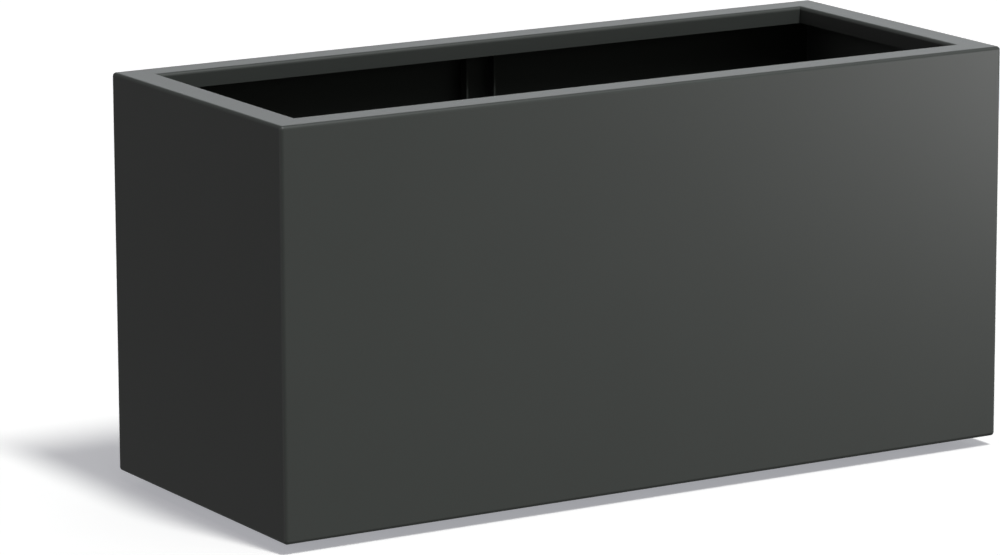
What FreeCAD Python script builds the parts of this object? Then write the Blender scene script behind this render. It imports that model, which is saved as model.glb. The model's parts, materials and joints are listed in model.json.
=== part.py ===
# Rectangular planter of folded, powder-coated aluminium sheet.
# Four folded wall panels are welded in mitred corners, a base sheet with drain holes lies on
# three bearers, a channel stiffens each long wall, and six rubber feet lift it off the floor.
# Frame: origin on the floor under the middle, X along the length, Y from front to back, Z up.
import FreeCAD, Part
import math
import os
import Sketcher

# Driving dimensions, in millimetres
SIZES = {
    # The whole planter, feet included, and the gap under its walls
    "length": 1200,
    "width": 500,
    "height": 600,
    "ground_gap": 15,
    # Wall panels: sheet, rim flange, lip and bottom return
    "wall_sheet": 3,
    "rim_width": 50,
    "lip_depth": 25,
    "bottom_return": 40,
    # Inside radius of every fold in the planter
    "fold_radius": 2.5,
    # Base sheet, laid in with play all round, and its drain holes
    "base_sheet": 3,
    "base_clearance": 1,
    "drain_diameter": 25,
    "drain_offset": 120,
    # Channel that makes the bearers and the wall stiffeners
    "channel_width": 50,
    "channel_depth": 20,
    "channel_sheet": 3,
    "bearer_inset": 150,
    "bearer_clearance": 1,
    "stiffener_clearance": 1,
    # Rubber feet, set in from the long faces
    "foot_inset": 110,
    "foot_diameter": 40,
    "foot_floor_diameter": 34,
    "foot_chamfer": 1.5,
    # Foot screw, its washer and the clinch nut that it turns into
    "screw_diameter": 8,
    "screw_head_diameter": 14,
    "screw_head_height": 4.4,
    "screw_head_edge": 1.5,
    "screw_head_recess": 2.5,
    "screw_socket": 5,
    "screw_socket_depth": 2.6,
    "screw_washer_rim": 1,
    "screw_washer_thickness": 1.6,
    "clinch_wall": 1.2,
    "clinch_shoulder": 1.8,
    "clinch_height": 6,
    # Blind rivets between the bearers and the bottom returns
    "rivet_diameter": 4.8,
    "rivet_head_rim": 2.4,
    "rivet_head_height": 1.6,
    "rivet_tail_rim": 1.1,
    "rivet_tail_height": 5,
    "rivet_pitch": 20,
    # Weld studs that hold the stiffeners, with their washers and nuts
    "stud_diameter": 6,
    "stud_flange_rim": 0.75,
    "stud_flange_height": 0.8,
    "stud_lower_margin": 70,
    "stud_upper_margin": 130,
    "stud_washer_diameter": 18,
    "stud_washer_thickness": 1.6,
    "nut_flats": 10,
    "nut_height": 5,
    # Play round every screw, stud and rivet, and how far a thread stands past its nut
    "fastener_clearance": 0.2,
    "thread_end": 2,
    # How far a cut runs past what it cuts
    "overrun": 5,
}
MITRE_ANGLE = 45
STUD_COUNT = 3
HEXAGON_CORNER_SHARE = 1 / math.sqrt(3)
TINY = 1e-9

doc = FreeCAD.newDocument("Planter")
sheet = doc.addObject("Spreadsheet::Sheet", "Sizes")
for row, (name, value) in enumerate(SIZES.items(), start=1):
    sheet.set(f"A{row}", name)
    sheet.set(f"B{row}", str(value))
    sheet.setAlias(f"B{row}", name)
doc.recompute()


class Size:
    """A length, as a number and as the sheet expression that gives it."""

    def __init__(self, number, text):
        self.number = number
        self.text = text

    def __add__(self, other):
        return Size(self.number + other.number, f"({self.text} + {other.text})")

    def __sub__(self, other):
        return Size(self.number - other.number, f"({self.text} - {other.text})")

    def __mul__(self, factor):
        return Size(self.number * factor, f"({self.text} * {factor})")

    def __truediv__(self, factor):
        return Size(self.number / factor, f"({self.text} / {factor})")

    def __neg__(self):
        return Size(-self.number, f"(-1 * {self.text})")


def size(name):
    return Size(sheet.get(name), f"Sizes.{name}")


ZERO = Size(0, "0")


# Sketches

def bind(sketch, kind, references, measure):
    """Adds one dimension to a sketch and ties it to the sheet."""
    index = sketch.addConstraint(Sketcher.Constraint(kind, *references, measure.number))
    sketch.setExpression(f"Constraints[{index}]", measure.text)


def pin(sketch, point, spot):
    """Holds a sketch point at a spot measured from the sketch's origin. A sketch's geometry -1 is
    its X axis, which starts at the origin, and -2 is its Y axis."""
    axes = (("DistanceX", -2), ("DistanceY", -1))
    origin = (-1, 1)
    for (kind, axis), measure in zip(axes, spot):
        if abs(measure.number) < TINY:
            sketch.addConstraint(Sketcher.Constraint("PointOnObject", *point, axis))
        elif measure.number > 0:
            bind(sketch, kind, (*origin, *point), measure)
        else:
            bind(sketch, kind, (*point, *origin), -measure)


def vector(spot):
    return FreeCAD.Vector(spot[0].number, spot[1].number, 0)


def round_about(spot, radius):
    return Part.Circle(vector(spot), FreeCAD.Vector(0, 0, 1), radius.number)


def outline(sketch, spots, arcs=None):
    """Draws a closed outline through the spots. arcs gives, for the run that starts at a spot,
    the arc's centre, its radius and whether it turns clockwise."""
    arcs = arcs or {}
    runs = []
    for index, start in enumerate(spots):
        end = spots[(index + 1) % len(spots)]
        if index not in arcs:
            line = sketch.addGeometry(Part.LineSegment(vector(start), vector(end)))
            runs.append((line, 1, 2))
            continue
        centre, radius, clockwise = arcs[index]
        circle = round_about(centre, radius)
        first, last = (end, start) if clockwise else (start, end)
        angles = (circle.parameter(vector(first)), circle.parameter(vector(last)))
        arc = sketch.addGeometry(Part.ArcOfCircle(circle, *angles))
        bind(sketch, "Radius", (arc,), radius)
        runs.append((arc, 2, 1) if clockwise else (arc, 1, 2))
    for index, (run, start_point, end_point) in enumerate(runs):
        after, after_start, _ = runs[(index + 1) % len(runs)]
        sketch.addConstraint(
            Sketcher.Constraint("Coincident", run, end_point, after, after_start)
        )
        pin(sketch, (run, start_point), spots[index])


def hexagon(sketch, flats):
    """Draws a hexagon about the sketch's origin, from its width across the flats."""
    corner = flats * HEXAGON_CORNER_SHARE
    upright = flats / 2
    outline(sketch, [
        (corner, ZERO),
        (corner / 2, upright),
        (-corner / 2, upright),
        (-corner, ZERO),
        (-corner / 2, -upright),
        (corner / 2, -upright),
    ])


def circles(sketch, diameter, spots):
    """Draws a circle about each spot. Point 3 of a circle is its centre."""
    for spot in spots:
        circle = sketch.addGeometry(round_about(spot, diameter / 2))
        bind(sketch, "Diameter", (circle,), diameter)
        pin(sketch, (circle, 3), spot)


def turn_right(walk):
    return walk[1], -walk[0]


def turn_left(walk):
    return -walk[1], walk[0]


def turn_back(walk):
    return -walk[0], -walk[1]


def shift(spot, walk, measure):
    """Moves a spot by a length along one of the sketch's axes."""
    return tuple(along + measure * step if step else along for along, step in zip(spot, walk))


def folded_outline(sketch, corners, thickness):
    """Draws the section of a folded sheet. corners are the sharp points of its outer line, walked
    so that the sheet lies on the right and every fold turns right."""
    inside = size("fold_radius")
    outside = inside + thickness
    walks = []
    for here, there in zip(corners, corners[1:]):
        ahead = (vector(there) - vector(here)).normalize()
        walks.append((round(ahead.x), round(ahead.y)))
    outer = [corners[0]]
    inner = [shift(corners[0], turn_right(walks[0]), thickness)]
    centres = []
    for corner, before, after in zip(corners[1:], walks, walks[1:]):
        centre = shift(shift(corner, turn_back(before), outside), after, outside)
        outer += [shift(corner, turn_back(before), outside), shift(corner, after, outside)]
        inner += [shift(centre, turn_left(before), inside), shift(centre, turn_left(after), inside)]
        centres.append(centre)
    outer.append(corners[-1])
    inner.append(shift(corners[-1], turn_right(walks[-1]), thickness))
    spots = outer + inner[::-1]
    arcs = {}
    for fold, centre in enumerate(centres):
        arcs[2 * fold + 1] = (centre, outside, True)
        arcs[len(spots) - 2 * fold - 3] = (centre, inside, False)
    outline(sketch, spots, arcs)


def ring_outline(sketch, bore, outer, thickness):
    outline(sketch, [
        (bore, ZERO),
        (outer, ZERO),
        (outer, thickness),
        (bore, thickness),
    ])


# Features

def new_body(label):
    body = doc.addObject("PartDesign::Body", label)
    body.Label = label
    body.AllowCompound = True
    return body


def datum(body, role):
    return next(item for item in body.Origin.OriginFeatures if item.Role == role)


def new_sketch(body, name, plane, offset=(ZERO, ZERO, ZERO)):
    sketch = body.newObject("Sketcher::SketchObject", f"{body.Label}_{name}")
    sketch.AttachmentSupport = [(datum(body, plane), "")]
    sketch.MapMode = "FlatFace"
    for axis, measure in zip("xyz", offset):
        sketch.setExpression(f"AttachmentOffset.Base.{axis}", measure.text)
    return sketch


def feature(body, kind, sketch):
    made = body.newObject(f"PartDesign::{kind}", f"{sketch.Name}_{kind.lower()}")
    made.Profile = sketch
    return made


def pad(body, sketch, measure, both_ways=False):
    made = feature(body, "Pad", sketch)
    made.setExpression("Length", measure.text)
    if both_ways:
        made.SideType = "Symmetric"
    return made


def cut(body, sketch, depth, with_normal=True):
    """Cuts a sketch out of the body, along the sketch's normal or against it."""
    made = feature(body, "Pocket", sketch)
    made.setExpression("Length", depth.text)
    made.Reversed = with_normal
    return made


def revolve(body, sketch, angle=360):
    """Turns a sketch about its own upright axis."""
    made = feature(body, "Revolution", sketch)
    made.ReferenceAxis = (sketch, ["V_Axis"])
    made.Angle = angle
    return made


def mirror(body, originals, plane):
    made = body.newObject("PartDesign::Mirrored", f"{body.Label}_mirrored")
    made.Originals = originals
    made.MirrorPlane = (datum(body, plane), [""])
    body.Tip = made


def repeat(body, originals, *rows):
    """Repeats features along one axis, or on a grid of two. Each row gives its axis, the number
    of places and the length from the first to the last."""
    made = body.newObject("PartDesign::LinearPattern", f"{body.Label}_pattern")
    made.Originals = originals
    for suffix, (axis, count, span) in zip(("", "2"), rows):
        setattr(made, f"Direction{suffix}", (datum(body, axis), [""]))
        setattr(made, f"Occurrences{suffix}", count)
        made.setExpression(f"Length{suffix}", span.text)
    body.Tip = made


def put(body, x, y, z, turn=0, tilt=0):
    """Puts a body in the planter, tilted about its X axis and then turned about the upright."""
    turned = FreeCAD.Rotation(FreeCAD.Vector(0, 0, 1), turn)
    tilted = FreeCAD.Rotation(FreeCAD.Vector(1, 0, 0), tilt)
    body.Placement = FreeCAD.Placement(FreeCAD.Vector(), turned * tilted)
    for axis, measure in zip("xyz", (x, y, z)):
        body.setExpression(f"Placement.Base.{axis}", measure.text)


# Sizes and levels that several pieces share

length = size("length")
width = size("width")
height = size("height")
ground_gap = size("ground_gap")
wall_sheet = size("wall_sheet")
rim_width = size("rim_width")
bottom_return = size("bottom_return")
fold_radius = size("fold_radius")
base_thickness = size("base_sheet")
channel_width = size("channel_width")
channel_depth = size("channel_depth")
channel_sheet = size("channel_sheet")
clearance = size("fastener_clearance")
overrun = size("overrun")
bearer_level = ground_gap + wall_sheet
base_top = bearer_level + channel_depth + base_thickness
base_gap = wall_sheet + fold_radius + size("base_clearance")
base_width = width - base_gap * 2
bearer_gap = base_gap + base_thickness + fold_radius + size("bearer_clearance")
bearer_length = width - bearer_gap * 2
outer_bearer = length / 2 - size("bearer_inset")
bearers = {"left": -outer_bearer, "middle": ZERO, "right": outer_bearer}
rivet_line = width / 2 - (bottom_return + bearer_gap) / 2
rivet_hole = size("rivet_diameter") + clearance * 2
foot_line = width / 2 - size("foot_inset")
screw_bore = size("screw_diameter") / 2 + clearance
clinch_pilot = screw_bore + size("clinch_wall")


# Wall panels

def rivet_spots(centre, line):
    """The two rivets across one bearer's end."""
    half_pitch = size("rivet_pitch") / 2
    return [(centre - half_pitch, line), (centre + half_pitch, line)]


def wall_panel(label, run):
    """A folded wall: X along it, Y inwards from its outer face, Z up from its lower edge.
    Each end stops at the mitre plane, with half of the rounded corner."""
    corner = fold_radius + wall_sheet
    rim = height - ground_gap
    body = new_body(label)
    section = new_sketch(body, "section", "YZ_Plane")
    folded_outline(section, [
        (bottom_return, ZERO),
        (ZERO, ZERO),
        (ZERO, rim),
        (rim_width, rim),
        (rim_width, rim - size("lip_depth")),
    ], wall_sheet)
    pad(body, section, run - corner * 2, both_ways=True)
    end = run / 2 - corner
    reach = rim_width + bottom_return
    mitre = new_sketch(body, "mitre", "XY_Plane")
    outline(mitre, [
        (end, corner),
        (end + overrun, corner),
        (end + overrun, reach),
        (run / 2 - reach, reach),
    ])
    mitred = cut(body, mitre, height)
    rounding = new_sketch(body, "rounding", "YZ_Plane", (corner, ZERO, end))
    low_centre = (ZERO, corner)
    high_centre = (ZERO, rim - corner)
    outline(rounding, [
        (ZERO, ZERO),
        (-corner, corner),
        (-corner, rim - corner),
        (ZERO, rim),
        (ZERO, rim - wall_sheet),
        (-fold_radius, rim - corner),
        (-fold_radius, corner),
        (ZERO, wall_sheet),
    ], {
        0: (low_centre, corner, True),
        2: (high_centre, corner, True),
        4: (high_centre, fold_radius, False),
        6: (low_centre, fold_radius, False),
    })
    rounded = revolve(body, rounding, MITRE_ANGLE)
    mirror(body, [mitred, rounded], "YZ_Plane")
    return body


def long_panel(label):
    """A long wall, with the holes in its bottom return for the bearers' rivets."""
    body = wall_panel(label, length)
    holes = new_sketch(body, "rivet_holes", "XY_Plane")
    line = width / 2 - rivet_line
    for centre in bearers.values():
        circles(holes, rivet_hole, rivet_spots(centre, line))
    cut(body, holes, wall_sheet + overrun)
    return body


put(long_panel("front_panel"), ZERO, -width / 2, ground_gap)
put(long_panel("back_panel"), ZERO, width / 2, ground_gap, turn=180)
put(wall_panel("left_end_panel", width), -length / 2, ZERO, ground_gap, turn=-90)
put(wall_panel("right_end_panel", width), length / 2, ZERO, ground_gap, turn=90)


# Base sheet, bearers and their rivets

def base_sheet():
    """A wide sheet with its long edges folded down: X along it, Z up from the folded edges."""
    body = new_body("base_sheet")
    top = channel_depth + base_thickness
    section = new_sketch(body, "section", "YZ_Plane")
    folded_outline(section, [
        (-base_width / 2, ZERO),
        (-base_width / 2, top),
        (base_width / 2, top),
        (base_width / 2, ZERO),
    ], base_thickness)
    pad(body, section, length - base_gap * 2, both_ways=True)
    drains = new_sketch(body, "drains", "XY_Plane")
    bay = outer_bearer / 2
    row = size("drain_offset")
    circles(drains, size("drain_diameter"), [(-bay, -row), (bay, -row), (-bay, row), (bay, row)])
    cut(body, drains, top + overrun)
    put(body, ZERO, ZERO, bearer_level)


def channel_outline(sketch):
    """A channel's section, with its web on the sketch's X axis and its legs up."""
    folded_outline(sketch, [
        (channel_width / 2, channel_depth),
        (channel_width / 2, ZERO),
        (-channel_width / 2, ZERO),
        (-channel_width / 2, channel_depth),
    ], channel_sheet)


def bearer(label, along):
    """A channel across the bottom, web down, that carries the base sheet and two feet."""
    body = new_body(label)
    section = new_sketch(body, "section", "XZ_Plane")
    channel_outline(section)
    pad(body, section, bearer_length, both_ways=True)
    nut_holes = new_sketch(body, "nut_holes", "XY_Plane")
    circles(nut_holes, (clinch_pilot + clearance) * 2, [(ZERO, -foot_line), (ZERO, foot_line)])
    cut(body, nut_holes, channel_sheet + overrun)
    rivet_holes = new_sketch(body, "rivet_holes", "XY_Plane")
    for line in (-rivet_line, rivet_line):
        circles(rivet_holes, rivet_hole, rivet_spots(ZERO, line))
    cut(body, rivet_holes, channel_sheet + overrun)
    put(body, along, ZERO, bearer_level)


def bearer_rivets(label, along):
    """The four blind rivets of one bearer: Z up from under the bottom returns."""
    body = new_body(label)
    shank = size("rivet_diameter") / 2
    head = shank + size("rivet_head_rim")
    tail = shank + size("rivet_tail_rim")
    grip = wall_sheet + channel_sheet
    end = grip + size("rivet_tail_height")
    section = new_sketch(body, "section", "XZ_Plane")
    outline(section, [
        (ZERO, -size("rivet_head_height")),
        (shank, -size("rivet_head_height")),
        (head, ZERO),
        (shank, ZERO),
        (shank, grip),
        (tail, grip),
        (tail, end),
        (ZERO, end),
    ])
    rivet = revolve(body, section)
    pitch = size("rivet_pitch")
    repeat(body, [rivet], ("X_Axis", 2, pitch), ("Y_Axis", 2, rivet_line * 2))
    put(body, along - pitch / 2, -rivet_line, ground_gap)


base_sheet()
for side, along in bearers.items():
    bearer(f"{side}_bearer", along)
    bearer_rivets(f"{side}_bearer_rivets", along)


# Wall stiffeners and what fastens them

stiffener_foot = base_top + size("stiffener_clearance")
stiffener_top = height - wall_sheet - fold_radius - size("stiffener_clearance")
stiffener_length = stiffener_top - stiffener_foot
stud_lowest = size("stud_lower_margin")
stud_span = stiffener_length - stud_lowest - size("stud_upper_margin")
stud_shank = size("stud_diameter") / 2
stud_flange = stud_shank + size("stud_flange_rim")
nut_seat = channel_sheet + size("stud_washer_thickness")


def stiffener(label):
    """An upright channel with its web on the wall: Y inwards from the wall, Z up."""
    body = new_body(label)
    section = new_sketch(body, "section", "XY_Plane")
    channel_outline(section)
    pad(body, section, stiffener_length)
    holes = new_sketch(body, "stud_holes", "XZ_Plane")
    pitch = stud_span / (STUD_COUNT - 1)
    spots = [(ZERO, stud_lowest + pitch * step) for step in range(STUD_COUNT)]
    circles(holes, (stud_flange + clearance) * 2, spots)
    cut(body, holes, channel_sheet + overrun, with_normal=False)
    return body


def down_the_wall(body, originals):
    """Repeats a fastener from the highest stud to the lowest: Y down, Z inwards from the wall."""
    repeat(body, originals, ("Y_Axis", STUD_COUNT, stud_span))
    return body


def studs(label):
    """Threaded studs, welded to the wall by a thin flange."""
    body = new_body(label)
    flange_height = size("stud_flange_height")
    end = nut_seat + size("nut_height") + size("thread_end")
    section = new_sketch(body, "section", "XZ_Plane")
    outline(section, [
        (ZERO, ZERO),
        (stud_flange, ZERO),
        (stud_flange, flange_height),
        (stud_shank, flange_height),
        (stud_shank, end),
        (ZERO, end),
    ])
    return down_the_wall(body, [revolve(body, section)])


def stud_washers(label):
    body = new_body(label)
    outer = size("stud_washer_diameter") / 2
    section = new_sketch(body, "section", "XZ_Plane", (ZERO, channel_sheet, ZERO))
    ring_outline(section, stud_shank + clearance, outer, size("stud_washer_thickness"))
    return down_the_wall(body, [revolve(body, section)])


def stud_nuts(label):
    body = new_body(label)
    flats = new_sketch(body, "flats", "XY_Plane", (ZERO, ZERO, nut_seat))
    hexagon(flats, size("nut_flats"))
    nut = pad(body, flats, size("nut_height"))
    bore = new_sketch(body, "bore", "XY_Plane", (ZERO, ZERO, nut_seat))
    circles(bore, (stud_shank + clearance) * 2, [(ZERO, ZERO)])
    bored = cut(body, bore, size("nut_height"))
    return down_the_wall(body, [nut, bored])


wall_face = width / 2 - wall_sheet
stud_highest = stiffener_foot + stud_lowest + stud_span
for side, across, turn in (("front", -wall_face, 0), ("back", wall_face, 180)):
    put(stiffener(f"{side}_stiffener"), ZERO, across, stiffener_foot, turn)
    for fastener in (
        studs(f"{side}_studs"),
        stud_washers(f"{side}_stud_washers"),
        stud_nuts(f"{side}_stud_nuts"),
    ):
        put(fastener, ZERO, across, stud_highest, turn, tilt=-90)


# Feet and what fastens them

washer_level = size("screw_head_recess") + size("screw_head_height")
foot_seat = washer_level + size("screw_washer_thickness")
screw_head = size("screw_head_diameter") / 2
screw_washer = screw_head + size("screw_washer_rim")
clinch_top = channel_sheet + size("clinch_height")


def foot(label, along, across):
    """A tapered rubber foot, with a recess for its screw's head and washer."""
    body = new_body(label)
    recess = screw_washer + clearance
    tread = size("foot_floor_diameter") / 2
    chamfer = size("foot_chamfer")
    section = new_sketch(body, "section", "XZ_Plane")
    outline(section, [
        (recess, ZERO),
        (tread - chamfer, ZERO),
        (tread, chamfer),
        (size("foot_diameter") / 2, bearer_level),
        (screw_bore, bearer_level),
        (screw_bore, foot_seat),
        (recess, foot_seat),
    ])
    revolve(body, section)
    put(body, along, across, ZERO)


def at_each_foot(body, originals, level):
    """Repeats a fastener at the six feet, from the front left one."""
    repeat(
        body, originals,
        ("X_Axis", len(bearers), outer_bearer * 2),
        ("Y_Axis", 2, foot_line * 2),
    )
    put(body, -outer_bearer, -foot_line, level)


def foot_screws():
    """Low-headed socket screws, driven up into the bearers: Z up from the head's seat."""
    body = new_body("foot_screws")
    shank = size("screw_diameter") / 2
    crown = size("screw_head_height")
    edge = size("screw_head_edge")
    end = bearer_level + clinch_top + size("thread_end") - washer_level
    section = new_sketch(body, "section", "XZ_Plane")
    outline(section, [
        (ZERO, -crown),
        (screw_head - edge, -crown),
        (screw_head, edge - crown),
        (screw_head, ZERO),
        (shank, ZERO),
        (shank, end),
        (ZERO, end),
    ])
    turned = revolve(body, section)
    socket = new_sketch(body, "socket", "XY_Plane", (ZERO, ZERO, -crown))
    hexagon(socket, size("screw_socket"))
    driven = cut(body, socket, size("screw_socket_depth"))
    at_each_foot(body, [turned, driven], washer_level)


def foot_washers():
    body = new_body("foot_washers")
    section = new_sketch(body, "section", "XZ_Plane")
    ring_outline(section, screw_bore, screw_washer, size("screw_washer_thickness"))
    at_each_foot(body, [revolve(body, section)], washer_level)


def foot_clinch_nuts():
    """Nuts pressed into the bearers' webs from above: Z up from the web's lower face."""
    body = new_body("foot_clinch_nuts")
    shoulder = clinch_pilot + size("clinch_shoulder")
    section = new_sketch(body, "section", "XZ_Plane")
    outline(section, [
        (screw_bore, ZERO),
        (clinch_pilot, ZERO),
        (clinch_pilot, channel_sheet),
        (shoulder, channel_sheet),
        (shoulder, clinch_top),
        (screw_bore, clinch_top),
    ])
    at_each_foot(body, [revolve(body, section)], bearer_level)


for row_name, across in (("front", -foot_line), ("back", foot_line)):
    for side, along in bearers.items():
        foot(f"foot_{row_name}_{side}", along, across)
foot_screws()
foot_washers()
foot_clinch_nuts()


# Check every feature and piece, then write each piece to its own file

doc.recompute()
for item in doc.Objects:
    if "Invalid" in item.State or "Error" in item.State:
        raise RuntimeError(f"{item.Label} failed: {item.State}")
    if item.isDerivedFrom("PartDesign::Pocket"):
        if item.Shape.Volume > item.BaseFeature.Shape.Volume - TINY:
            raise RuntimeError(f"{item.Label} cuts nothing")
bodies = [item for item in doc.Objects if item.isDerivedFrom("PartDesign::Body")]
for body in bodies:
    if body.Shape.isNull() or not body.Shape.isValid() or not body.Shape.Solids:
        raise RuntimeError(f"{body.Label} has no valid solid")
os.makedirs("parts", exist_ok=True)
for body in bodies:
    body.Shape.exportStep(f"parts/{body.Label}.step")
    print(body.Label, len(body.Shape.Solids), round(body.Shape.Volume))
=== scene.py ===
# Looks of the rectangular aluminium planter: the finish of every piece, finer fasteners and feet, the floor,
# the light and the camera.
# Lengths are in metres, in the part's own frame: X along the length, Y from front to back, Z up.
import json
import math

import bmesh
import bpy
from mathutils import Matrix, Vector


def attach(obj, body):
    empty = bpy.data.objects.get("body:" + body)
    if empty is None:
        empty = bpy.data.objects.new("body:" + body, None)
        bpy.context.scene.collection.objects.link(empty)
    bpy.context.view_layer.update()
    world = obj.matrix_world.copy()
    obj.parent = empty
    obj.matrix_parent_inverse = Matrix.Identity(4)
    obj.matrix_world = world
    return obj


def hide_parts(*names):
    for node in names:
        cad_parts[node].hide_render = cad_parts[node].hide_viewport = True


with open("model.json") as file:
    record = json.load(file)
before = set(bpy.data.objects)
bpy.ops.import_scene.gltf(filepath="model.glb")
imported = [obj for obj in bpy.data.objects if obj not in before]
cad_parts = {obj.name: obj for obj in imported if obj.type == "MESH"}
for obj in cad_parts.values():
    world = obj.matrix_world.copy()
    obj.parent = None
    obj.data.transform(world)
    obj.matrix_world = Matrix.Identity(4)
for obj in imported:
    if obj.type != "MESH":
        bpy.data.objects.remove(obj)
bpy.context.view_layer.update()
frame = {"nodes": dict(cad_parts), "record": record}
MILLIMETRE = 0.001

# Camera: what it aims at, how far off and how high it stands, and its lens on a 36 mm wide sensor
CAMERA_AIM = Vector((-0.1049, 0.0, 0.2895))
CAMERA_DISTANCE = 7.9348
CAMERA_AZIMUTH = math.radians(-30.99)
CAMERA_ELEVATION = math.radians(12.204)
CAMERA_ROLL = math.radians(-0.203)
CAMERA_LENS = 197.67
SENSOR_WIDTH = 36.0

# Lamps: a distant oval one above the front, with its angles as seen from the planter and the light that it
# throws there in watts per square metre, and a low one on the right that only shows as sheen
KEY_DISTANCE = 400.0
KEY_AZIMUTH = math.radians(10.3)
KEY_ELEVATION = math.radians(65.4)
KEY_SPREAD_ACROSS = math.radians(7.2)
KEY_SPREAD_UP = math.radians(16.5)
KEY_STRENGTH = 2.05
KEY_COLOUR = (0.965, 1.0, 1.0)
SHEEN_PLACE = Vector((2.09, -1.83, 0.4))
SHEEN_AIM = Vector((0.6, -0.25, 0.6))
SHEEN_SIZE = 0.6
SHEEN_POWER = 15.8

# Floor: pale paper with fine flecks, which glows a little, so that shadows on it stay pale
FLOOR_SIZE = 60.0
FLOOR_FLECK = 4 * MILLIMETRE
FLOOR_COLOURS = ((0.91, 0.88, 0.845), (0.93, 0.90, 0.865))
FLOOR_GLOW = (0.326, 0.330, 0.355)

# Finishes: how large their grain, orange peel, clouds and scuffs are, how deep those are in the surface, and
# the darkest and palest colour and the smoothest and roughest spot between which they vary
COAT_GRAIN = 0.4 * MILLIMETRE
COAT_GRAIN_DEPTH = 0.014 * MILLIMETRE
COAT_PEEL = 2.5 * MILLIMETRE
COAT_PEEL_DEPTH = 0.03 * MILLIMETRE
COAT_CLOUD = 180 * MILLIMETRE
COAT_COLOURS = ((0.0625, 0.067, 0.063), (0.0755, 0.0805, 0.076))
COAT_ROUGHNESS = (0.36, 0.48)
COAT_IOR = 1.5
ALUMINIUM_SCUFF = 0.8 * MILLIMETRE
ALUMINIUM_SCUFF_DEPTH = 0.01 * MILLIMETRE
ALUMINIUM_COLOURS = ((0.52, 0.53, 0.54), (0.70, 0.71, 0.72))
ALUMINIUM_ROUGHNESS = (0.28, 0.5)
STEEL_SCUFF = 0.6 * MILLIMETRE
STEEL_SCUFF_DEPTH = 0.006 * MILLIMETRE
STEEL_COLOURS = ((0.44, 0.43, 0.41), (0.58, 0.57, 0.55))
STEEL_ROUGHNESS = (0.22, 0.4)
RUBBER_GRAIN = 0.7 * MILLIMETRE
RUBBER_GRAIN_DEPTH = 0.04 * MILLIMETRE
RUBBER_COLOURS = ((0.012, 0.012, 0.013), (0.026, 0.026, 0.027))
RUBBER_ROUGHNESS = (0.6, 0.85)

# Turning: steps round a piece, a multiple of six for the hexagons, and along a rounded edge. Edges that bend
# by more than SHARP_EDGE stay sharp, and points nearer to each other than WELD are one.
SIDES = 36
ARC_STEPS = 4
FULL_TURN = math.radians(360)
SIXTH_TURN = FULL_TURN / 6
SHARP_EDGE = math.radians(35)
WELD = 0.5e-6

# Fasteners and feet, in millimetres: broken edges, and the play in a hole
EDGE = 0.25
PLAY = 0.2
# A thread, in shares of its pitch: how high up its root and its crest start and end, and its depth
THREAD_SHARES = (0.0, 0.25, 0.5625, 0.6875)
THREAD_DEPTH_SHARE = 0.61
STUD_DIAMETER = 6.0
STUD_PITCH = 1.0
STUD_FLANGE = 0.8
SCREW_DIAMETER = 8.0
SCREW_PITCH = 1.25
SCREW_HEAD_HEIGHT = 4.4
SCREW_HEAD_EDGE = 1.5
SOCKET_FLATS = 5.0
SOCKET_DEPTH = 2.6
RIVET_DIAMETER = 4.8
RIVET_HEAD = 1.6
RIVET_TAIL_DIAMETER = 7.0
RIVET_TAIL = 5.0
MANDREL_DEPTH = 0.6
RIVET_DOME_SHARES = (0.27, 0.4, 0.55, 0.7, 0.85, 1.0)
RIVET_TAIL_SHARES = (0.0, 0.25, 0.5, 0.75, 1.0)
FOOT_TREAD = 34.0
FOOT_EDGE = 1.5
FOOT_RECESS = 16.4
FOOT_SEAT = 8.5
FOOT_BORE = 8.4


# Helpers for pieces and for node trees

def place_in_scene(name, data):
    piece = bpy.data.objects.new(name, data)
    bpy.context.scene.collection.objects.link(piece)
    return piece


class Nodes:
    """Builds the node tree of one material or of the world."""

    def __init__(self, owner):
        owner.use_nodes = True
        self.tree = owner.node_tree

    def add(self, kind, links=None, **settings):
        node = self.tree.nodes.new(f"ShaderNode{kind}")
        for name, value in settings.items():
            setattr(node, name, value)
        for name, source in (links or {}).items():
            self.feed(node.inputs[name], source)
        return node

    def feed(self, socket, source):
        if isinstance(source, bpy.types.NodeSocket):
            self.tree.links.new(source, socket)
        else:
            socket.default_value = source


class Finish(Nodes):
    """A procedural material, patterned in the part's own frame."""

    def __init__(self, name):
        self.material = bpy.data.materials.new(name)
        super().__init__(self.material)
        self.shader = next(n for n in self.tree.nodes if n.type == "BSDF_PRINCIPLED")
        self.place = self.add("TexCoord").outputs["Object"]

    def noise(self, grain, detail=2.0):
        """Noise with features about as large as the grain."""
        links = {"Vector": self.place, "Scale": 1 / grain, "Detail": detail}
        return self.add("TexNoise", links).outputs["Fac"]

    def average(self, first, second):
        total = self.add("Math", {0: first, 1: second}, operation="ADD").outputs["Value"]
        return self.add("Math", {0: total, 1: 0.5}, operation="MULTIPLY").outputs["Value"]

    def spread(self, source, low, high):
        """The source's 0 to 1 drawn out to low to high."""
        return self.add("MapRange", {"Value": source, "To Min": low, "To Max": high}).outputs["Result"]

    def blend(self, source, low, high):
        """A colour between low and high."""
        links = {"Fac": source, "Color1": (*low, 1.0), "Color2": (*high, 1.0)}
        return self.add("MixRGB", links).outputs["Color"]

    def bump(self, height, depth, under=None):
        """Relief as deep as given, on top of the relief under it if there is one."""
        links = {"Height": height, "Distance": depth}
        if under:
            links["Normal"] = under
        return self.add("Bump", links).outputs["Normal"]

    def set(self, **inputs):
        """Feeds the shader's inputs, with underscores in their names for spaces."""
        for name, source in inputs.items():
            self.feed(self.shader.inputs[name.replace("_", " ")], source)


# Finishes

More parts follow.
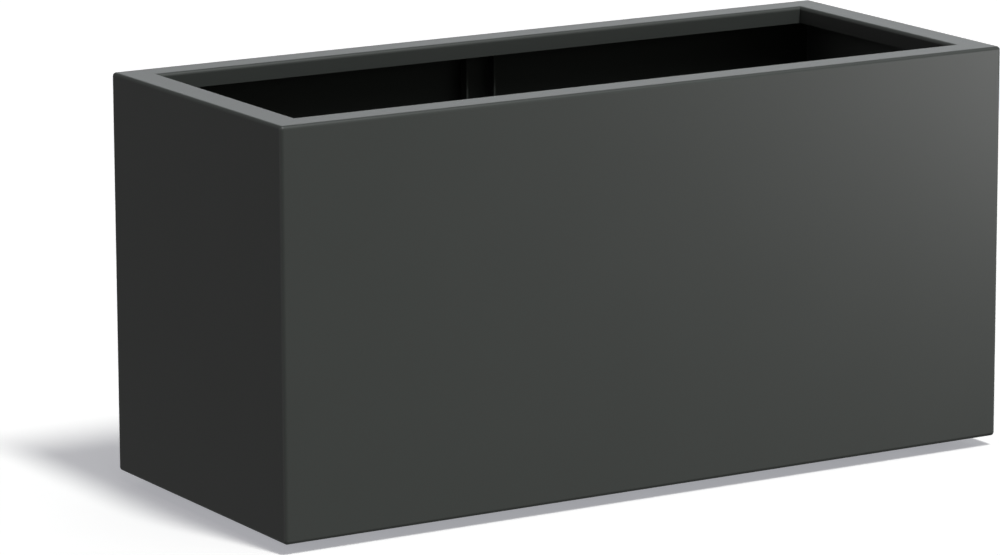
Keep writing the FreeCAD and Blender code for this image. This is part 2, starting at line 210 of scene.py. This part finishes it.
def powder_coat():
    """Satin anthracite powder coat: an even tone, a fine grain and a faint orange peel."""
    coat = Finish("anthracite_coat")
    grain = coat.noise(COAT_GRAIN)
    peel = coat.noise(COAT_PEEL)
    cloud = coat.noise(COAT_CLOUD)
    coat.set(
        Base_Color=coat.blend(coat.average(grain, cloud), *COAT_COLOURS),
        Roughness=coat.spread(grain, *COAT_ROUGHNESS),
        Normal=coat.bump(grain, COAT_GRAIN_DEPTH, coat.bump(peel, COAT_PEEL_DEPTH)),
        IOR=COAT_IOR,
    )
    return coat.material


def bare_aluminium():
    metal = Finish("dull_aluminium")
    scuff = metal.noise(ALUMINIUM_SCUFF, detail=4.0)
    metal.set(
        Base_Color=metal.blend(scuff, *ALUMINIUM_COLOURS),
        Roughness=metal.spread(scuff, *ALUMINIUM_ROUGHNESS),
        Normal=metal.bump(scuff, ALUMINIUM_SCUFF_DEPTH),
        Metallic=1.0,
    )
    return metal.material


def stainless_steel():
    metal = Finish("turned_stainless")
    scuff = metal.noise(STEEL_SCUFF, detail=4.0)
    metal.set(
        Base_Color=metal.blend(scuff, *STEEL_COLOURS),
        Roughness=metal.spread(scuff, *STEEL_ROUGHNESS),
        Normal=metal.bump(scuff, STEEL_SCUFF_DEPTH),
        Metallic=1.0,
    )
    return metal.material


def rubber():
    moulded = Finish("moulded_rubber")
    grain = moulded.noise(RUBBER_GRAIN, detail=3.0)
    moulded.set(
        Base_Color=moulded.blend(grain, *RUBBER_COLOURS),
        Roughness=moulded.spread(grain, *RUBBER_ROUGHNESS),
        Normal=moulded.bump(grain, RUBBER_GRAIN_DEPTH),
    )
    return moulded.material


FINISHES = {
    "powder_coat": powder_coat(),
    "bare_aluminium": bare_aluminium(),
    "stainless_steel": stainless_steel(),
    "rubber": rubber(),
}
SLOTS = {row["node"]: row["material_slot"] for row in frame["record"]["subparts"]}


def dress(piece, slot):
    piece.data.materials.clear()
    piece.data.materials.append(FINISHES[slot])


def dress_nodes():
    """Gives every CAD piece the finish of its material slot."""
    for node, slot in SLOTS.items():
        dress(frame["nodes"][node], slot)


# Shapes of the fasteners and feet. Each piece's function lists the points of its outline at an angle round
# its axis, as radius and height in millimetres. Heights start at the piece's lower or outer end.

def arc(radius, height, reach, first, last):
    """Part of a circle round that point; 0 degrees points outwards and 90 degrees upwards."""
    turns = [math.radians(first + (last - first) * step / ARC_STEPS) for step in range(ARC_STEPS + 1)]
    return [(radius + reach * math.cos(turn), height + reach * math.sin(turn)) for turn in turns]


def hexagon(angle, flats):
    """Radius of a hexagon with two corners on X, from its width across the flats."""
    return flats / 2 / math.cos(angle % SIXTH_TURN - SIXTH_TURN / 2)


def thread(angle, diameter, pitch, start, end):
    """A right-hand thread from start up to a chamfered end."""
    crest = diameter / 2
    root = crest - pitch * THREAD_DEPTH_SHARE
    points = []
    for turn in range(-1, math.ceil((end - start) / pitch) + 1):
        turn_start = start + pitch * (turn + angle / FULL_TURN)
        for share, radius in zip(THREAD_SHARES, (root, root, crest, crest)):
            height = min(max(turn_start + pitch * share, start), end)
            if height in (start, end):
                radius = root
            points.append((min(radius, root - EDGE + end - height), height))
    return points


def stud(angle, radius, length):
    """Weld stud with its thin flange."""
    return [
        (0, 0),
        (radius, 0),
        (radius, STUD_FLANGE - EDGE),
        (radius - EDGE, STUD_FLANGE),
        *thread(angle, STUD_DIAMETER, STUD_PITCH, STUD_FLANGE, length),
        (0, length),
    ]


def washer(angle, radius, length):
    """Flat washer with broken edges."""
    hole = STUD_DIAMETER / 2 + PLAY
    return [
        (hole, EDGE),
        (hole + EDGE, 0),
        (radius - EDGE, 0),
        (radius, EDGE),
        (radius, length - EDGE),
        (radius - EDGE, length),
        (hole + EDGE, length),
        (hole, length - EDGE),
        (hole, EDGE),
    ]


def nut(angle, radius, length):
    """Hexagon nut with conical chamfers on both faces; the radius is a corner's."""
    flats = 2 * radius * math.cos(SIXTH_TURN / 2)
    hole = STUD_DIAMETER / 2 + EDGE
    side = hexagon(angle, flats)
    face = flats / 2 - EDGE
    drop = (side - face) * math.tan(SIXTH_TURN / 2)
    return [
        (hole, EDGE),
        (hole + EDGE, 0),
        (face, 0),
        (side, drop),
        (side, length - drop),
        (face, length),
        (hole + EDGE, length),
        (hole, length - EDGE),
        (hole, EDGE),
    ]


def foot_screw(angle, radius, length):
    """Low-headed socket screw, up from the face of its head."""
    socket = hexagon(angle, SOCKET_FLATS)
    return [
        (0, SOCKET_DEPTH + EDGE),
        (socket, SOCKET_DEPTH),
        (socket, EDGE),
        (socket + EDGE, 0),
        *arc(radius - SCREW_HEAD_EDGE, SCREW_HEAD_EDGE, SCREW_HEAD_EDGE, 270, 360),
        (radius, SCREW_HEAD_HEIGHT - EDGE),
        (radius - EDGE, SCREW_HEAD_HEIGHT),
        *thread(angle, SCREW_DIAMETER, SCREW_PITCH, SCREW_HEAD_HEIGHT, length),
        (0, length),
    ]


def rivet(angle, radius, length):
    """Set blind rivet: a domed head round its broken mandrel, and a bulged tail."""
    shank = RIVET_DIAMETER / 2
    dome = [(radius * share, RIVET_HEAD * share ** 2) for share in RIVET_DOME_SHARES]
    bulge = RIVET_TAIL_DIAMETER / 2
    tail = [
        (bulge - (bulge - shank) * share ** 2, length - RIVET_TAIL * (1 - share))
        for share in RIVET_TAIL_SHARES
    ]
    hole = radius * RIVET_DOME_SHARES[0]
    return [
        (0, MANDREL_DEPTH),
        (hole, MANDREL_DEPTH),
        *dome,
        (shank, RIVET_HEAD),
        (shank, length - RIVET_TAIL),
        *tail,
        (0, length),
    ]


def foot(angle, radius, length):
    """Rubber foot with rounded edges and a recess for its screw's head."""
    return [
        *arc(FOOT_RECESS / 2 + EDGE, EDGE, EDGE, 180, 270),
        *arc(FOOT_TREAD / 2 - FOOT_EDGE, FOOT_EDGE, FOOT_EDGE, 270, 360),
        *arc(radius - EDGE, length - EDGE, EDGE, 0, 90),
        (FOOT_BORE / 2, length),
        (FOOT_BORE / 2, FOOT_SEAT),
        (FOOT_RECESS / 2, FOOT_SEAT),
        (FOOT_RECESS / 2, EDGE),
    ]


# Putting those shapes in the place of the CAD fasteners and feet

def solids(node):
    """Lowest and highest corner of each separate solid in a node's mesh."""
    mesh = bmesh.new()
    mesh.from_mesh(frame["nodes"][node].data)
    bmesh.ops.remove_doubles(mesh, verts=mesh.verts, dist=WELD)
    boxes = []
    unreached = set(mesh.verts)
    while unreached:
        reached = [unreached.pop()]
        for vertex in reached:
            near = {edge.other_vert(vertex) for edge in vertex.link_edges} & unreached
            unreached -= near
            reached.extend(near)
        axes = list(zip(*(vertex.co for vertex in reached)))
        boxes.append((tuple(map(min, axes)), tuple(map(max, axes))))
    mesh.free()
    return [(Vector(low), Vector(high)) for low, high in sorted(boxes)]


def spin(shape, radius, length):
    """Mesh of a shape, in metres, with its axis on Z."""
    mesh = bmesh.new()
    lines = []
    for side in range(SIDES + 1):
        angle = FULL_TURN * side / SIDES
        across = Vector((math.cos(angle), math.sin(angle), 0))
        points = [across * reach + Vector((0, 0, height)) for reach, height in shape(angle, radius, length)]
        lines.append([mesh.verts.new(point * MILLIMETRE) for point in points])
    for line, beside in zip(lines, lines[1:]):
        for low, high, high_beside, low_beside in zip(line, line[1:], beside[1:], beside):
            mesh.faces.new((low, high, high_beside, low_beside))
    bmesh.ops.remove_doubles(mesh, verts=mesh.verts, dist=WELD)
    bmesh.ops.dissolve_degenerate(mesh, edges=mesh.edges, dist=WELD)
    bmesh.ops.recalc_face_normals(mesh, faces=mesh.faces)
    turned = bpy.data.meshes.new(shape.__name__)
    mesh.to_mesh(turned)
    mesh.free()
    return turned


def detail(node, shape, axis):
    """Puts a detailed shape in the place of each solid of a node, along that axis."""
    joined = bmesh.new()
    turned = axis.to_track_quat("Z", "Y").to_matrix().to_4x4()
    for low, high in solids(node):
        half = (high - low) / 2
        reach = abs(half.dot(axis))
        radius = max(abs(part) for part in half - axis * half.dot(axis))
        copy = spin(shape, radius / MILLIMETRE, 2 * reach / MILLIMETRE)
        copy.transform(Matrix.Translation(low + half - axis * reach) @ turned)
        joined.from_mesh(copy)
        bpy.data.meshes.remove(copy)
    mesh = bpy.data.meshes.new(f"{node}_detailed")
    joined.to_mesh(mesh)
    joined.free()
    mesh.shade_smooth()
    mesh.set_sharp_from_angle(angle=SHARP_EDGE)
    piece = place_in_scene(mesh.name, mesh)
    dress(piece, SLOTS[node])
    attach(piece, "root")
    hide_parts(node)


def detail_fasteners_and_feet():
    up = Vector((0, 0, 1))
    for side, inwards in (("front", Vector((0, 1, 0))), ("back", Vector((0, -1, 0)))):
        detail(f"{side}_studs", stud, inwards)
        detail(f"{side}_stud_washers", washer, inwards)
        detail(f"{side}_stud_nuts", nut, inwards)
    detail("foot_screws", foot_screw, up)
    for place in ("left", "middle", "right"):
        detail(f"{place}_bearer_rivets", rivet, up)
        for side in ("front", "back"):
            detail(f"foot_{side}_{place}", foot, up)


# Floor, light and camera

def floor():
    """Pale paper that takes the planter's shadow, but neither lights the planter nor shades it."""
    half = FLOOR_SIZE / 2
    mesh = bpy.data.meshes.new("floor")
    corners = [(-half, -half, 0), (half, -half, 0), (half, half, 0), (-half, half, 0)]
    mesh.from_pydata(corners, [], [(0, 1, 2, 3)])
    paper = Finish("floor_paper")
    paper.set(
        Base_Color=paper.blend(paper.noise(FLOOR_FLECK), *FLOOR_COLOURS),
        Roughness=1.0,
        Specular_IOR_Level=0.0,
        Emission_Color=(*FLOOR_GLOW, 1.0),
        Emission_Strength=1.0,
    )
    mesh.materials.append(paper.material)
    piece = place_in_scene("floor", mesh)
    piece.visible_diffuse = False
    piece.visible_glossy = False
    piece.visible_shadow = False


def direction(azimuth, elevation):
    """Unit vector towards a place round the planter: azimuth 0 is in front, 90 degrees on the right."""
    across = math.cos(elevation)
    return Vector((math.sin(azimuth) * across, -math.cos(azimuth) * across, math.sin(elevation)))


def aim(piece, line):
    piece.rotation_euler = line.to_track_quat("-Z", "Y").to_euler()


def lamps():
    """The sheen lamp, and the key lamp with the power that gives its strength at the planter."""
    key = bpy.data.lights.new("key_lamp", "AREA")
    key.shape = "ELLIPSE"
    key.size = 2 * KEY_DISTANCE * math.tan(KEY_SPREAD_ACROSS / 2)
    key.size_y = 2 * KEY_DISTANCE * math.tan(KEY_SPREAD_UP / 2)
    key.energy = KEY_STRENGTH * math.pi * KEY_DISTANCE ** 2
    key.color = KEY_COLOUR
    piece = place_in_scene("key_lamp", key)
    piece.location = direction(KEY_AZIMUTH, KEY_ELEVATION) * KEY_DISTANCE
    aim(piece, -piece.location)
    sheen = bpy.data.lights.new("sheen_lamp", "AREA")
    sheen.shape = "DISK"
    sheen.size = SHEEN_SIZE
    sheen.energy = SHEEN_POWER
    piece = place_in_scene("sheen_lamp", sheen)
    piece.location = SHEEN_PLACE
    piece.visible_diffuse = False
    aim(piece, SHEEN_AIM - SHEEN_PLACE)


class Dome(Nodes):
    """The studio all round: soft round patches of light on a dark dome."""

    def __init__(self, world):
        super().__init__(world)
        self.line = self.add("TexCoord").outputs["Generated"]
        self.total = (0.0, 0.0, 0.0)

    def patch(self, colour, azimuth, elevation, core, reach):
        """A patch at that place, in degrees: bright within its core, and faded out at its reach."""
        middle = direction(math.radians(azimuth), math.radians(elevation))
        nearness = self.add("VectorMath", {0: self.line, 1: middle}, operation="DOT_PRODUCT")
        links = {
            "Value": nearness.outputs["Value"],
            "From Min": math.cos(math.radians(reach)),
            "From Max": math.cos(math.radians(core)),
        }
        glow = self.add("MapRange", links, interpolation_type="SMOOTHSTEP").outputs["Result"]
        links = {0: glow, 1: colour, 2: self.total}
        self.total = self.add("VectorMath", links, operation="MULTIPLY_ADD").outputs["Vector"]


def studio():
    """Glows low behind on the right, on both sides and round the key lamp, and light from the ground."""
    world = bpy.data.worlds.new("studio")
    bpy.context.scene.world = world
    dome = Dome(world)
    dome.patch(colour=(1.575, 1.62, 1.66), azimuth=135, elevation=-4, core=8, reach=45)
    dome.patch(colour=(0.418, 0.4025, 0.413), azimuth=-105, elevation=10, core=8, reach=50)
    dome.patch(colour=(0.280, 0.293, 0.272), azimuth=65, elevation=18, core=10, reach=50)
    dome.patch(colour=(1.02, 1.04, 1.04), azimuth=10, elevation=66, core=5, reach=28)
    dome.patch(colour=(0.134, 0.137, 0.137), azimuth=0, elevation=-90, core=75, reach=95)
    dome.patch(colour=(0.169, 0.177, 0.163), azimuth=0, elevation=-25, core=10, reach=60)
    dome.feed(dome.tree.nodes["Background"].inputs["Color"], dome.total)


def camera():
    lens = bpy.data.cameras.new("camera")
    lens.sensor_width = SENSOR_WIDTH
    lens.lens = CAMERA_LENS
    lens.clip_end = FLOOR_SIZE
    piece = place_in_scene("camera", lens)
    back = direction(CAMERA_AZIMUTH, CAMERA_ELEVATION)
    turned = (-back).to_track_quat("-Z", "Y").to_matrix().to_4x4()
    rolled = turned @ Matrix.Rotation(CAMERA_ROLL, 4, "Z")
    piece.matrix_world = Matrix.Translation(CAMERA_AIM + back * CAMERA_DISTANCE) @ rolled
    bpy.context.scene.camera = piece


dress_nodes()
detail_fasteners_and_feet()
floor()
lamps()
studio()
camera()
bpy.context.scene.view_settings.view_transform = "Standard"
